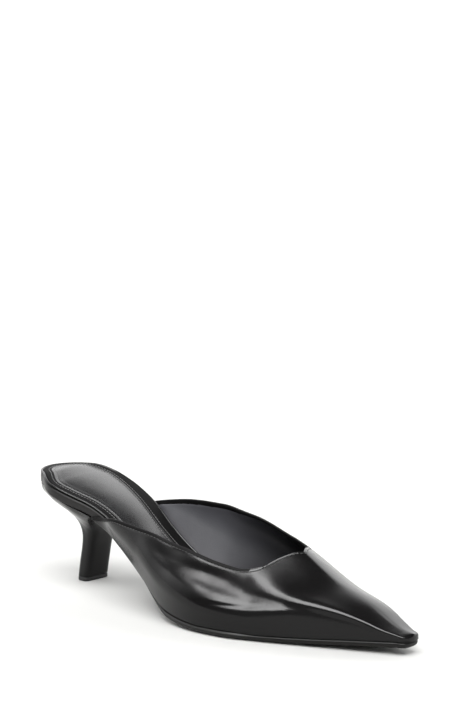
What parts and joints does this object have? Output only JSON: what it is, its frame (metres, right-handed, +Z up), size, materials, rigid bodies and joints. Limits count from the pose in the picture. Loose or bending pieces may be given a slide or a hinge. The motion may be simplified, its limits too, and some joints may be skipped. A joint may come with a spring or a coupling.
{
  "type": "pointed toe mule",
  "caption": "Backless pointed toe mule in smooth black leather with a slim slanted covered heel, a V-cut throat, a stitched sock lining and a thin sole; the right shoe of a pair.",
  "frame": {"origin": "on the floor under the middle of the shoe's box", "axes": "+X towards the toe, -Y towards the outer side of the foot, +Z up from the floor"},
  "size_m": [0.2424, 0.0782, 0.0566],
  "materials": {
    "upper": "smooth, semi-gloss",
    "insole": "smooth, semi-gloss",
    "sock_lining": "smooth, semi-gloss",
    "outsole": "satin",
    "heel": "smooth, semi-gloss",
    "heel_tip": "matt"
  },
  "bodies": {
    "root": {"upper": "upper", "insole": "insole", "sock_lining": "sock_lining", "outsole": "outsole", "heel": "heel", "heel_tip": "heel_tip"}
  },
  "joints": []
}
